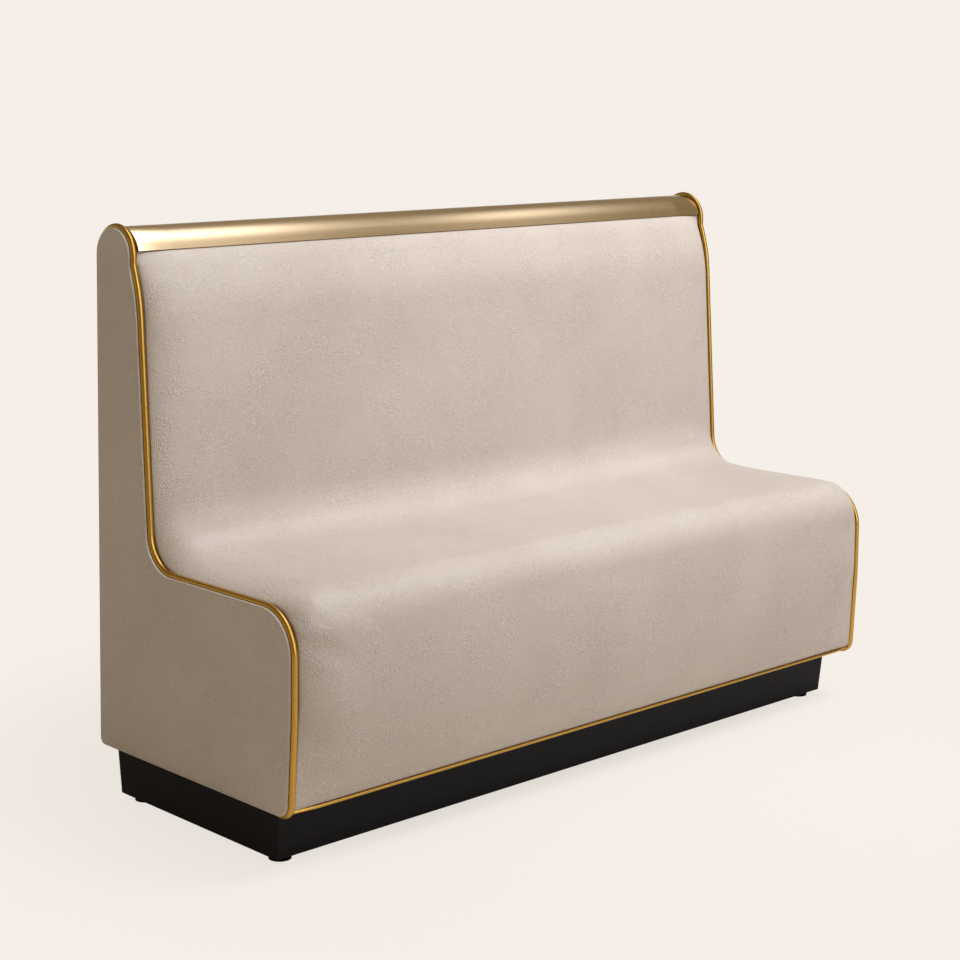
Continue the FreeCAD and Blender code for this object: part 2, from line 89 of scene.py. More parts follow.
# %% [markdown]
# The camera stands where the photograph was taken from: in front of the bench's left end, at
# shoulder height, with a long lens. The photograph keeps upright lines nearly upright, as a view camera
# does, so the lens is shifted a little and the camera itself looks down less than it seems.

# %% Camera
CAMERA_PLACE = Vector((-2.9437, -2.9689, 1.3694))
CAMERA_AZIMUTH = math.radians(43.823)
CAMERA_PITCH = math.radians(6.150)
CAMERA_ROLL = math.radians(0.589)
LENS = 80.84
SENSOR_WIDTH = 36.0
LENS_SHIFT = -0.20


def add_camera():
    """The camera at the photograph's place."""
    camera = bpy.data.objects.new("camera", bpy.data.cameras.new("camera"))
    bpy.context.scene.collection.objects.link(camera)
    level = math.cos(CAMERA_PITCH)
    ahead = Vector((math.sin(CAMERA_AZIMUTH) * level, math.cos(CAMERA_AZIMUTH) * level,
                    -math.sin(CAMERA_PITCH)))
    camera.location = CAMERA_PLACE
    camera.rotation_mode = "QUATERNION"
    camera.rotation_quaternion = ahead.to_track_quat("-Z", "Y") @ Quaternion((0, 0, 1), CAMERA_ROLL)
    camera.data.lens = LENS
    camera.data.sensor_width = SENSOR_WIDTH
    camera.data.shift_y = LENS_SHIFT
    bpy.context.scene.camera = camera
    return camera


print("Lens:", add_camera().data.lens, "mm")

# %% [markdown]
# Materials are node trees. One function adds a node with its settings and links, and one turns a
# colour that is written as it looks on a screen into the linear light that the shader works with.
# The others write settings that are used often, or put a few nodes together: a pattern between two
# colours, painted shade in narrow seams, and a surface with a colour and a relief.

# %% Helpers for materials
SOFT_CONTRAST = (0.3, 0.7)
FULL_CONTRAST = (0.35, 0.65)
OPEN_PART = (0.3, 0.88)
SEAM_SAMPLES = 8


def linear(hex_colour):
    """A hex sRGB colour as linear red, green, blue and alpha."""
    channels = [int(hex_colour[start:start + 2], 16) / 255 for start in (1, 3, 5)]
    return [c / 12.92 if c <= 0.04045 else ((c + 0.055) / 1.055) ** 2.4 for c in channels] + [1.0]


def add_node(tree, kind, settings=(), links=()):
    """Adds a node, sets its properties or inputs, and links its inputs to other nodes' outputs."""
    node = tree.nodes.new(kind)
    for name, value in dict(settings).items():
        if isinstance(name, str) and hasattr(node, name):
            setattr(node, name, value)
        else:
            node.inputs[name].default_value = value
    for name, output in dict(links).items():
        tree.links.new(output, node.inputs[name])
    return node


def new_material(name, roughness, metallic=0.0):
    """A material with its shader, its node tree and the piece's own coordinates."""
    material = bpy.data.materials.new(name)
    material.use_nodes = True
    tree = material.node_tree
    shader = tree.nodes["Principled BSDF"]
    shader.inputs["Roughness"].default_value = roughness
    shader.inputs["Metallic"].default_value = metallic
    coordinates = add_node(tree, "ShaderNodeTexCoord").outputs["Object"]
    return material, tree, shader, coordinates


def per_metre(size_mm):
    """The scale of a texture whose features have a size in millimetres."""
    return 1000.0 / size_mm


def stretch(low, high, to_low=0.0, to_high=1.0, kind="LINEAR"):
    """Settings that stretch part of a pattern's range over another range."""
    return {"interpolation_type": kind, "From Min": low, "From Max": high, "To Min": to_low,
            "To Max": to_high}


def two_colours(first, second):
    """Settings of a mix that goes from one hex colour to another."""
    return {"data_type": "RGBA", 6: linear(first), 7: linear(second)}


def mottle(tree, pattern, contrast, first, second):
    """A colour that goes from one hex colour to another over the middle part of a pattern."""
    shade = add_node(tree, "ShaderNodeMapRange", stretch(*contrast), {"Value": pattern})
    colour = add_node(tree, "ShaderNodeMix", two_colours(first, second), {0: shade.outputs["Result"]})
    return colour.outputs[2]


def paint_seam_shade(tree, colour, seam_shade, reach_mm):
    """Paints shade into a colour in narrow gaps, where light doesn't reach."""
    # Painted shade: the less open a point is, the more it takes the seam's dark colour.
    openness = add_node(tree, "ShaderNodeAmbientOcclusion",
                        {"samples": SEAM_SAMPLES, "Distance": reach_mm * MM})
    share = add_node(tree, "ShaderNodeMapRange", stretch(*OPEN_PART), {"Value": openness.outputs["AO"]})
    darkened = add_node(tree, "ShaderNodeMix", {"data_type": "RGBA", 6: linear(seam_shade)},
                        {0: share.outputs["Result"], 7: colour})
    return darkened.outputs[2]


def set_surface(tree, shader, colour, height, depth_mm):
    """Gives the shader a colour and a relief of a real depth."""
    tree.links.new(colour, shader.inputs["Base Color"])
    bump = add_node(tree, "ShaderNodeBump", {"Distance": depth_mm * MM}, {"Height": height})
    tree.links.new(bump.outputs["Normal"], shader.inputs["Normal"])


print("Features 2 mm apart have a scale of", per_metre(2.0), "per metre")

# %% [markdown]
# The cover is PVC upholstery vinyl, calendered and embossed with a pebble grain. Its satin top coat
# gives wide, soft highlights, broken up by the pebbles. Real pebbles are 1 to 2 mm wide, too fine
# for a picture of the whole bench, so they are drawn 2.6 mm wide. The grain is deep in some patches
# and shallow in others. The print is a slow change between two near creams, with flecks and pits
# that make single pebbles lighter or darker.

# %% Vinyl
PEBBLE_WIDTH = 2.6
PATCH_WIDTH = 45.0
TINT_WIDTH = 220.0
PEBBLE_RELIEF = 0.8
VINYL_SEAM_REACH = 10.0
GRAIN_DEPTH = stretch(0.38, 0.6, 0.3, 0.9)
SLOW_PRINT = stretch(0.3, 0.7, 0.35, 0.65)
FLECKS = stretch(0.8, 0.95, 0.0, 0.5)
PITS = stretch(0.2, 0.05, 0.0, -0.4)
PEBBLE_SHINE = stretch(0.0, 1.0, 0.29, 0.44)


def vinyl_colour(tree, chance, depth, tint):
    """The printed cream, with single pebbles lighter or darker where the grain is deep, and painted shade
    in its seams.
    """
    shade = add_node(tree, "ShaderNodeMapRange", SLOW_PRINT, {"Value": tint}).outputs["Result"]
    for marks in (FLECKS, PITS):
        strength = add_node(tree, "ShaderNodeMapRange", marks, {"Value": chance})
        total = add_node(tree, "ShaderNodeMath", {"operation": "MULTIPLY_ADD"},
                         {0: strength.outputs["Result"], 1: depth, 2: shade})
        shade = total.outputs["Value"]
    colour = add_node(tree, "ShaderNodeMix", two_colours("#B9ACA0", "#D5CABE"), {0: shade})
    # Painted shade darkens the cream in narrow gaps, such as beside the piping.
    return paint_seam_shade(tree, colour.outputs[2], "#6E5742", VINYL_SEAM_REACH)


def make_vinyl():
    """Cream upholstery vinyl with a pebble grain."""
    material, tree, shader, coordinates = new_material("cream_upholstery_vinyl", 0.42)
    pebbles = add_node(tree, "ShaderNodeTexVoronoi", {"Scale": per_metre(PEBBLE_WIDTH)},
                       {"Vector": coordinates})
    patches = add_node(tree, "ShaderNodeTexNoise", {"Scale": per_metre(PATCH_WIDTH), "Detail": 5.0},
                       {"Vector": coordinates})
    tint = add_node(tree, "ShaderNodeTexNoise", {"Scale": per_metre(TINT_WIDTH), "Detail": 2.0},
                    {"Vector": coordinates})
    patch_depth = add_node(tree, "ShaderNodeMapRange", GRAIN_DEPTH, {"Value": patches.outputs["Fac"]})
    depth = patch_depth.outputs["Result"]
    each_pebble = add_node(tree, "ShaderNodeSeparateColor", (), {"Color": pebbles.outputs["Color"]})
    chance = each_pebble.outputs["Red"]
    height = add_node(tree, "ShaderNodeMath", {"operation": "MULTIPLY"},
                      {0: pebbles.outputs["Distance"], 1: depth})
    shine = add_node(tree, "ShaderNodeMapRange", PEBBLE_SHINE, {"Value": chance})
    tree.links.new(shine.outputs["Result"], shader.inputs["Roughness"])
    colour = vinyl_colour(tree, chance, depth, tint.outputs["Fac"])
    set_surface(tree, shader, colour, height.outputs["Value"], PEBBLE_RELIEF)
    return material


vinyl = make_vinyl()
print("Made", vinyl.name)

# %% [markdown]
# The piping is metallised vinyl wrapped round a cord: a gold print under a clear, smooth coat. It
# mirrors the room softly, so it is bright where it faces the lamps and brown where it turns away.

# %% Gold piping
GOLD_GRAIN = 2.5
GOLD_RELIEF = 0.08
GOLD_SEAM_REACH = 5.0


def make_gold_vinyl():
    """Gold metallised vinyl of the piping."""
    material, tree, shader, coordinates = new_material("gold_metallised_vinyl", 0.29, metallic=1.0)
    grain = add_node(tree, "ShaderNodeTexNoise", {"Scale": per_metre(GOLD_GRAIN), "Detail": 2.0},
                     {"Vector": coordinates}).outputs["Fac"]
    gold = mottle(tree, grain, SOFT_CONTRAST, "#B98D3A", "#C69B48")
    # Painted shade darkens the gold where the cord meets the pad and the end panels.
    colour = paint_seam_shade(tree, gold, "#4A3106", GOLD_SEAM_REACH)
    set_surface(tree, shader, colour, grain, GOLD_RELIEF)
    return material


gold_vinyl = make_gold_vinyl()
print("Made", gold_vinyl.name)

# %% [markdown]
# The rail is brass-plated metal, brushed along its length and lacquered. The fine brush lines run
# along it and spread a highlight across the rail, so the shine is anisotropic, round the rail's
# axis. Its faint streaks are stretched noise, hundreds of times longer than wide. Metals keep the
# default IOR, because their colour sets what they mirror.

# %% Brass
STREAK_WIDTH = 1.2
STREAK_SCALES = (0.004, 1.0, 1.0)
STREAK_RELIEF = 0.004
STREAK_SHINE = stretch(0.2, 0.8, 0.19, 0.23)


def make_brass():
    """Satin brass, brushed along the bench."""
    material, tree, shader, coordinates = new_material("satin_brass", 0.21, metallic=1.0)
    shader.inputs["Anisotropic"].default_value = 0.8
    shader.inputs["Coat Weight"].default_value = 0.5
    shader.inputs["Coat Roughness"].default_value = 0.18
    around = add_node(tree, "ShaderNodeTangent", {"direction_type": "RADIAL", "axis": "X"})
    tree.links.new(around.outputs["Tangent"], shader.inputs["Tangent"])
    along = add_node(tree, "ShaderNodeMapping", {"Scale": STREAK_SCALES}, {"Vector": coordinates})
    streaks = add_node(tree, "ShaderNodeTexNoise", {"Scale": per_metre(STREAK_WIDTH), "Detail": 3.0},
                       {"Vector": along.outputs["Vector"]}).outputs["Fac"]
    shine = add_node(tree, "ShaderNodeMapRange", STREAK_SHINE, {"Value": streaks})
    tree.links.new(shine.outputs["Result"], shader.inputs["Roughness"])
    colour = mottle(tree, streaks, SOFT_CONTRAST, "#E3C796", "#EBD1A3")
    set_surface(tree, shader, colour, streaks, STREAK_RELIEF)
    return material


brass = make_brass()
print("Made", brass.name)

# %% [markdown]
# The plinth is board with dead matt black lacquer, rolled on: nearly black, with a faint orange-peel
# relief that breaks up its very weak reflections. The feet are moulded black plastic with a fine
# spark-eroded grain.

# %% Black lacquer and black plastic
BLACK_SPECULAR = 0.07


def make_black(name, roughness, dark, light, grain_mm, depth_mm):
    """A black finish with a fine relief."""
    material, tree, shader, coordinates = new_material(name, roughness)
    shader.inputs["Specular IOR Level"].default_value = BLACK_SPECULAR
    grain = add_node(tree, "ShaderNodeTexNoise", {"Scale": per_metre(grain_mm), "Detail": 3.0},
                     {"Vector": coordinates}).outputs["Fac"]
    set_surface(tree, shader, mottle(tree, grain, FULL_CONTRAST, dark, light), grain, depth_mm)
    return material


lacquer = make_black("matt_black_lacquer", 0.42, "#1A1A1C", "#1F1F21", 6.0, 0.05)
black_plastic = make_black("moulded_black_plastic", 0.4, "#0E0E0E", "#141414", 1.5, 0.04)
print("Made", lacquer.name, "and", black_plastic.name)

# %% [markdown]
# Inside the bench are plywood boards, softwood rails and zinc-plated steel stems. Wood grain is
# noise that is stretched along the fibres: birch plywood is pale with fine pores, and pine has
# wide, warmer rings.

# %% Wood and steel inside the bench
FIBRE_SCALES = (0.08, 1.0, 1.0)
RING_RELIEF = 0.1
SPANGLE_WIDTH = 3.0


def make_wood(name, early, late, ring_mm, roughness):
    """Wood with its fibres along the bench."""
    material, tree, shader, coordinates = new_material(name, roughness)
    fibres = add_node(tree, "ShaderNodeMapping", {"Scale": FIBRE_SCALES}, {"Vector": coordinates})
    rings = add_node(tree, "ShaderNodeTexNoise", {"Scale": per_metre(ring_mm), "Detail": 5.0},
                     {"Vector": fibres.outputs["Vector"]}).outputs["Fac"]
    set_surface(tree, shader, mottle(tree, rings, FULL_CONTRAST, early, late), rings, RING_RELIEF)
    return material


def make_steel():
    """Zinc-plated steel: a cold grey metal with a faint crystal mottle."""
    material, tree, shader, coordinates = new_material("zinc_plated_steel", 0.35, metallic=1.0)
    spangle = add_node(tree, "ShaderNodeTexVoronoi", {"Scale": per_metre(SPANGLE_WIDTH)},
                       {"Vector": coordinates})
    colour = add_node(tree, "ShaderNodeMix", two_colours("#A9ADB2", "#C4C7CA"),
                      {0: spangle.outputs["Distance"]})
    tree.links.new(colour.outputs[2], shader.inputs["Base Color"])
    return material


plywood = make_wood("birch_plywood", "#D9BC8C", "#C7A471", 8.0, 0.6)
pine = make_wood("pine_rail", "#D8B07A", "#B98549", 14.0, 0.65)
steel = make_steel()
print("Made", plywood.name, pine.name, "and", steel.name)

# %% [markdown]
# Every CAD piece that stays visible gets the material of its kind. Its shape is right already, so
# only the surface changes.

# %% Materials of the CAD pieces
MATERIALS_BY_NAME = {
    "end_board": plywood, "back_board": plywood, "seat_deck": plywood, "front_board": plywood,
    "rib": plywood, "back_panel": plywood, "back_top_rail": pine, "seat_front_rail": pine,
    "seat_rear_rail": pine, "bottom_front_rail": pine, "bottom_rear_rail": pine, "rail_core": pine,
    "corner_blocks": pine, "plinth": lacquer, "foot_base": black_plastic, "foot_stem": steel,
    "piping": gold_vinyl, "cap_rail": brass,
}


def give_material(piece, material):
    """Sets a piece's one material."""
    if not piece.material_slots:
        piece.data.materials.append(material)
    for slot in piece.material_slots:
        slot.material = material


for node_name, node_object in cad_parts.items():
    kinds = [kind for kind in MATERIALS_BY_NAME if node_name.startswith(kind)]
    give_material(node_object, MATERIALS_BY_NAME[kinds[0]] if kinds else vinyl)
print("Dressed", len(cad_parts), "CAD pieces")

# %% [markdown]
# Most of the bench follows one rounded outline, so the next helpers draw along it. Each corner has
# a radius, and the outline becomes straight runs and bends. bmesh's spin operator draws a vertex,
# a ring or a row of edges along both: a run is a spin by no angle with a step, and a bend is a
# spin about its centre.

# %% Helpers that draw along an outline
TOLERANCE = MM / 10
KINK_SWELL_SHARE = 0.33
SHOULDER_TIGHTENING = 5.0
NOSE_TIGHTENING = 0.7


def rounded_path(corners):
    """Runs and bends along (forward, up, radius) corners, as (start, end, centre, angle)."""
    points = [place(forward, up) for forward, up, _ in corners]
    pieces = []
    here = points[0]
    for before, at, after, corner in zip(points, points[1:], points[2:], corners[1:]):
        arriving = (at - before).normalized()
        leaving = (after - at).normalized()
        turn = math.atan2(arriving.cross(leaving).x, arriving.dot(leaving))
        radius = corner[2] * MM
        cut = radius * math.tan(abs(turn) / 2)
        start, end = at - arriving * cut, at + leaving * cut
        inward = (leaving - arriving * leaving.dot(arriving)).normalized()
        pieces.append((here, start, None, 0.0))
        pieces.append((start, end, start + inward * radius, turn))
        here = end
    pieces.append((here, points[-1], None, 0.0))
    return [piece for piece in pieces if (piece[1] - piece[0]).length > TOLERANCE]


def steps_along(path, run_step, bend_step):
    """How many steps each run and bend gets, for steps of about these lengths and angles."""
    counts = []
    for start, end, centre, angle in path:
        wanted = (end - start).length / run_step if centre is None else abs(angle) / bend_step
        counts.append(max(1, math.ceil(wanted - 0.001)))
    return counts


def sweep(bm, geometry, path, counts):
    """Draws geometry along a path and returns where it ends."""
    for (start, end, centre, angle), count in zip(path, counts):
        step = (end - start) / count if centre is None else Vector((0, 0, 0))
        spun = bmesh.ops.spin(bm, geom=geometry, cent=centre or start, axis=(1, 0, 0), dvec=step,
                              angle=angle, steps=count)
        geometry = spun["geom_last"]
    return geometry


def draw_line(path, counts):
    """The points of a path, in order, from one vertex that is drawn along it."""
    bm = bmesh.new()
    sweep(bm, [bm.verts.new(path[0][0])], path, counts)
    points = [vertex.co.copy() for vertex in bm.verts]
    bm.free()
    return points


def back_line(up, swell=0.0):
    """How far forward the raked back lies at a height."""
    return CREASE_FORWARD - (up - SEAT_UP) * math.tan(RAKE) + swell / math.cos(RAKE)


def seat_corners(swell=0.0):
    """Back, seat and front; swell moves the upholstery out towards the sitter."""
    seat_up = SEAT_UP + swell
    front = FRONT_FORWARD + swell
    return [
        (NECK_FORWARD + KINK_SWELL_SHARE * swell, KINK_UP, KINK_RADIUS),
        (back_line(SHOULDER_UP, swell), SHOULDER_UP, SHOULDER_RADIUS - SHOULDER_TIGHTENING * swell),
        (back_line(seat_up, swell), seat_up, CREASE_RADIUS + swell),
        (front, seat_up, NOSE_RADIUS - NOSE_TIGHTENING * swell),
        (front, BULGE_UP, BULGE_RADIUS),
    ]


print("From kink to bulge the outline has", len(rounded_path(seat_corners())), "runs and bends")

# %% [markdown]
# A finished piece becomes an object at the origin, with its place in its mesh. Faces are shaded
# smooth, except where they meet at more than a set angle.

# %% Helper that finishes a piece
def finish_piece(name, bm, material, body="bench", sharp_degrees=40.0):
    """Turns a bmesh into an object that rides on a body."""
    mesh = bpy.data.meshes.new(name)
    for face in bm.faces:
        face.smooth = True
    bm.to_mesh(mesh)
    bm.free()
    mesh.set_sharp_from_angle(angle=math.radians(sharp_degrees))
    piece = bpy.data.objects.new(name, mesh)
    bpy.context.scene.collection.objects.link(piece)
    give_material(piece, material)
    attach(piece, body)
    return piece


def close_up(bm):
    """Merges doubled vertices and turns every face outwards."""
    bmesh.ops.remove_doubles(bm, verts=bm.verts, dist=MM / 20)
    bmesh.ops.recalc_face_normals(bm, faces=bm.faces)


def offset_corners(corners, distance):
    """The same outline moved outwards by a distance, its bends kept concentric."""
    moved = []
    last = len(corners) - 1
    for index, (forward, up, radius) in enumerate(corners):
        before = Vector(corners[max(index, 1)][:2]) - Vector(corners[max(index - 1, 0)][:2])
        after = Vector(corners[min(index + 1, last)][:2]) - Vector(corners[min(index, last - 1)][:2])
        before, after = before.normalized(), after.normalized()
        turn = math.atan2(before.x * after.y - before.y * after.x, before.dot(after))
        slide = distance * math.tan(turn / 2)
        new_radius = radius - distance * math.copysign(1, turn) if radius else radius
        moved.append((forward - distance * before.y - slide * before.x,
                      up + distance * before.x - slide * before.y, new_radius))
    return moved


print("Piece helpers ready")

# %% [markdown]
# The pad is vinyl over foam, pulled tight from under the brass rail to under the front edge. It
# stands proud between the end panels and rolls down to the piping at both ends. Its outline is
# drawn twice, once as it lies in the middle and once as it lies at the ends. The middle one is
# drawn out along the bench, and the mesh is then moved towards the end outline in a soft quarter
# round near each end, as foam under a tight cover does. Under the rail the cover bulges out in the
# middle, and its corners are drawn in. Foam fills the crease and pushes out at the nose, so the
# middle outline has a wider crease and a tighter nose. A short cloth simulation then presses the
# cover out from within, and how far it may rise is capped.

# %% The pad
PAD_HALF = 760.1
PAD_SWELL_BEFORE = 25.0
SWELL_CAP = 7.0
SWELL_EASE = 12.0
HELD_UNDER_RAIL = 7.0
EDGE_RISE = 1.0
EDGE_ROLL = 80.0
ROLL_SOFTNESS = 0.7
UNDER_RAIL = (116.0, 897.0, 72.0)
UNDER_RAIL_AT_ENDS = (99.0, 882.0, 30.0)
NECK_AT_ENDS = 96.0
LIP_UP = 913.0
TUCK_BACK = 20.0
PAD_BOTTOM = (546.0, 6.0, 16.0)
PAD_BOTTOM_END = 520.0
SKIN = 1.5
ROLL_STEPS = 12
MIDDLE_STEPS = 96
STATIONS = 2 * ROLL_STEPS + MIDDLE_STEPS
PAD_RUN_STEP = 14.0
PAD_BEND_STEP = math.radians(9)
FOAM_PRESSURE = 4.0
PRESSED_FRAMES = 20


def pad_corners(swell, neck, under_rail):
    """The cover's outline, from its tuck under the rail to its tuck under the front."""
    top = [(NECK_FORWARD - TUCK_BACK, LIP_UP, 0.0), (neck, LIP_UP, 2.0), under_rail]
    return top + seat_corners(swell)[1:] + [PAD_BOTTOM, (PAD_BOTTOM_END, PAD_BOTTOM[1], 0.0)]


def station_along(station):
    """Where a cross-section stands along the bench: closely spaced in the rolled ends."""
    if station > STATIONS / 2:
        return -station_along(STATIONS - station)
    if station <= ROLL_STEPS:
        angle = math.pi / 2 * station / ROLL_STEPS
        return -PAD_HALF + EDGE_ROLL * (1 - math.cos(angle))
    return (PAD_HALF - EDGE_ROLL) * (2 * (station - ROLL_STEPS) / MIDDLE_STEPS - 1)


def end_roll(along):
    """How far the pad has risen at a distance along: 0 at the piping, 1 past the roll."""
    distance = min(PAD_HALF - abs(along), EDGE_ROLL)
    return max(0.0, 1 - (1 - distance / EDGE_ROLL) ** 2) ** ROLL_SOFTNESS


def make_pad_mesh(swell):
    """The pad's cover as a sheet."""
    path = rounded_path(pad_corners(swell, NECK_FORWARD, UNDER_RAIL))
    counts = steps_along(path, PAD_RUN_STEP * MM, PAD_BEND_STEP)
    middle_line = draw_line(path, counts)
    end_path = rounded_path(pad_corners(EDGE_RISE, NECK_AT_ENDS, UNDER_RAIL_AT_ENDS))
    end_line = draw_line(end_path, counts)
    bm = bmesh.new()
    start = bm.verts.new(middle_line[0])
    sweep(bm, [start], path, counts)
    bmesh.ops.spin(bm, geom=bm.verts[:] + bm.edges[:], cent=(0, 0, 0), axis=(1, 0, 0),
                   dvec=(1, 0, 0), angle=0.0, steps=STATIONS)
    tree = KDTree(len(middle_line))
    for index, point in enumerate(middle_line):
        tree.insert(point, index)
    tree.balance()
    for vertex in bm.verts:
        along = station_along(round(vertex.co.x))
        _, index, _ = tree.find((0, vertex.co.y, vertex.co.z))
        vertex.co = end_line[index].lerp(middle_line[index], end_roll(along))
        vertex.co.x = along * MM
    return bm


def is_held(point):
    """Whether the cover is fixed at a point: at both ends, under the rail and under the front."""
    at_end = abs(point.x) > (PAD_HALF - 1) * MM
    under_rail = point.z > place(0, LIP_UP - HELD_UNDER_RAIL).z
    under_front = point.z < place(0, PAD_BOTTOM[1] + PAD_BOTTOM[2]).z
    return at_end or under_rail or under_front


def swell_cover(pad):
    """Presses the cover outwards from within, as foam does, and eases how far it rises to a cap."""
    held = [vertex.index for vertex in pad.data.vertices if is_held(vertex.co)]
    pad.vertex_groups.new(name="held").add(held, 1.0, "REPLACE")
    flat = [vertex.co.copy() for vertex in pad.data.vertices]
    cloth = pad.modifiers.new("foam_pressure", "CLOTH")
    cloth.settings.vertex_group_mass = "held"
    cloth.settings.use_pressure = True
    cloth.settings.uniform_pressure_force = FOAM_PRESSURE
    cloth.settings.effector_weights.gravity = 0.0
    for step in range(PRESSED_FRAMES):
        bpy.context.scene.frame_set(step + 1)
    swollen = pad.evaluated_get(bpy.context.evaluated_depsgraph_get())
    moves = [after.co - before for after, before in zip(swollen.data.vertices, flat)]
    pad.modifiers.remove(cloth)
    bpy.context.scene.frame_set(1)
    for vertex, before, move in zip(pad.data.vertices, flat, moves):
        vertex.co = before + move * SWELL_CAP * MM / (move.length + SWELL_EASE * MM)
    furthest = max(move.length for move in moves) / MM
    print("The cover rose by up to", round(furthest, 1), "mm before the cap")


def make_pad():
    """The upholstered pad."""
    bm = make_pad_mesh(PAD_SWELL_BEFORE)
    bmesh.ops.recalc_face_normals(bm, faces=bm.faces)
    pad = finish_piece("pad", bm, vinyl, sharp_degrees=80.0)
    swell_cover(pad)
    subdivision = pad.modifiers.new("smooth", "SUBSURF")
    subdivision.levels = subdivision.render_levels = 1
    skin = pad.modifiers.new("skin", "SOLIDIFY")
    skin.thickness = SKIN * MM
    skin.offset = -1.0
    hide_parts("pad_cover", "back_foam", "seat_foam", "front_foam")
    return pad


pad = make_pad()
print("Pad:", len(pad.data.polygons), "faces before it is smoothed")
first = pad.data.polygons[len(pad.data.polygons) // 2]
print("A face in the middle looks towards", first.normal)

# %% [markdown]
# The piping is a round cord in gold vinyl. A ring is drawn along its middle line: down the back
# of the dome, over it, down the back, along the seat, down the front and under the corner. Both
# ends are closed and softly rounded.

# %% The piping
PIPING_RADIUS = 6.0
PIPING_ALONG = 766.4
TAIL_ANGLE = math.radians(27.0)
TAIL_LENGTH = 4.0
PIPING_SIDES = 20
PIPING_RUN_STEP = 20.0
FINE_BEND_STEP = math.radians(5)
PIPING_END_ROUNDING = 1.5


def edge_corners():
    """The middle line of the piping, as on the end panels, from its tail behind the dome."""
    tail = (DOME_RADIUS - DOME_RADIUS * math.cos(TAIL_ANGLE),
            DOME_TOP_UP - DOME_RADIUS + DOME_RADIUS * math.sin(TAIL_ANGLE), 0.0)
    tangent = DOME_RADIUS * math.tan((math.pi / 2 - TAIL_ANGLE) / 2)
    dome = [tail, (DOME_RADIUS - tangent, DOME_TOP_UP, DOME_RADIUS),
            (NECK_FORWARD, DOME_TOP_UP, DOME_RADIUS)]
    under = [(BOTTOM_FORWARD, 0.0, BOTTOM_RADIUS),
             (BOTTOM_FORWARD - BOTTOM_RADIUS - TAIL_LENGTH, 0.0, 0.0)]
    return dome + seat_corners() + under


def close_tube_ends(bm, rounding):
    """Closes the open ends of a tube and rounds their rims."""
    rims = [edge for edge in bm.edges if edge.is_boundary]
    bmesh.ops.holes_fill(bm, edges=rims, sides=0)
    bmesh.ops.bevel(bm, geom=rims, offset=rounding * MM, offset_type="OFFSET", segments=3, profile=0.5,
                    affect="EDGES", material=-1)


def make_welt(name, node, along):
    """Piping along an end panel's edge."""
    path = rounded_path(edge_corners())
    counts = steps_along(path, PIPING_RUN_STEP * MM, FINE_BEND_STEP)
    _, _, centre, _ = path[0]
    heading = Vector((1, 0, 0)).cross(path[0][0] - centre)
    turn = heading.to_track_quat("Z", "X").to_matrix().to_4x4()
    bm = bmesh.new()
    bmesh.ops.create_circle(bm, radius=PIPING_RADIUS * MM, segments=PIPING_SIDES,
                            matrix=Matrix.Translation(path[0][0]) @ turn)
    sweep(bm, bm.verts[:] + bm.edges[:], path, counts)
    close_tube_ends(bm, PIPING_END_ROUNDING)
    bmesh.ops.translate(bm, verts=bm.verts, vec=(along * MM, 0, 0))
    close_up(bm)
    welt = finish_piece(name, bm, gold_vinyl, sharp_degrees=60.0)
    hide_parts(node)
    return welt


welts = [make_welt("welt_left", "piping_left", -PIPING_ALONG),
         make_welt("welt_right", "piping_right", PIPING_ALONG)]
print("End piping:", [len(welt.data.polygons) for welt in welts], "faces")

# %% [markdown]
# A thinner piping closes the bottom of the pad's front. It is a tube between the two end pipings,
# where the CAD piece is, and its last few centimetres turn back to be sewn in behind them.

# %% The piping along the bottom front
JOINED_LENGTH = 30.0
JOINED_SHIFT = 6.0
JOINED_REACH = 4.0
FRONT_RUN_STEPS = 30
FRONT_END_ROUNDING = 0.6


def make_front_welt():
    """Thin piping under the pad's front."""
    low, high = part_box("piping_front_bottom")
    radius = (high.z - low.z) / 2
    low.x -= JOINED_REACH * MM
    high.x += JOINED_REACH * MM
    turn = Matrix.Rotation(math.pi / 2, 4, "Y")
    left_end = Matrix.Translation((low.x, (low.y + high.y) / 2, (low.z + high.z) / 2))
    bm = bmesh.new()
    bmesh.ops.create_circle(bm, radius=radius, segments=PIPING_SIDES, matrix=left_end @ turn)
    bmesh.ops.spin(bm, geom=bm.verts[:] + bm.edges[:], cent=(0, 0, 0), axis=(1, 0, 0),
                   dvec=((high.x - low.x) / FRONT_RUN_STEPS, 0, 0), angle=0.0, steps=FRONT_RUN_STEPS)
    close_tube_ends(bm, FRONT_END_ROUNDING)
    for vertex in bm.verts:
        into_end = (abs(vertex.co.x) - high.x + JOINED_LENGTH * MM) / (JOINED_LENGTH * MM)
        vertex.co.y += JOINED_SHIFT * MM * max(0.0, into_end) ** 2
    close_up(bm)
    welt = finish_piece("welt_front", bm, gold_vinyl, sharp_degrees=60.0)
    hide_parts("piping_front_bottom")
    return welt


front_welt = make_front_welt()
print("Front piping:", len(front_welt.data.polygons), "faces")

# %% [markdown]
# Each end panel is vinyl over a thin sheet of foam. Its outline is drawn with one vertex, filled,
# and drawn out by the foam's thickness, and its rim is bevelled round. Cuts across the face give
# it vertices that are then moved out a little, so that the foam crowns it towards the middle. A
# thin strip of the same vinyl wraps the board's edge under the piping.

# %% The end panels
PANEL_FOAM = 5.0
PANEL_INSET = 1.0
RIM_RADIUS = 3.6
PANEL_CROWN = 1.6
CROWN_REACH = 45.0
CROWN_GRID = 20.0
HEEL_RADIUS = 14.0
PANEL_RUN_STEP = 30.0


def panel_corners():
    """The closed outline of an end panel's face, from a point on its upright rear edge."""
    line = offset_corners(edge_corners(), -PANEL_INSET)
    front, top, _ = line[2]
    dome_radius = front / 2
    middle = (0.0, SEAT_UP, 0.0)
    dome = [middle, (0.0, top, dome_radius), (front, top, dome_radius)]
    bottom = [(line[-2][0], 0.0, BOTTOM_RADIUS), (0.0, 0.0, HEEL_RADIUS), middle]
    return dome + line[3:-2] + bottom


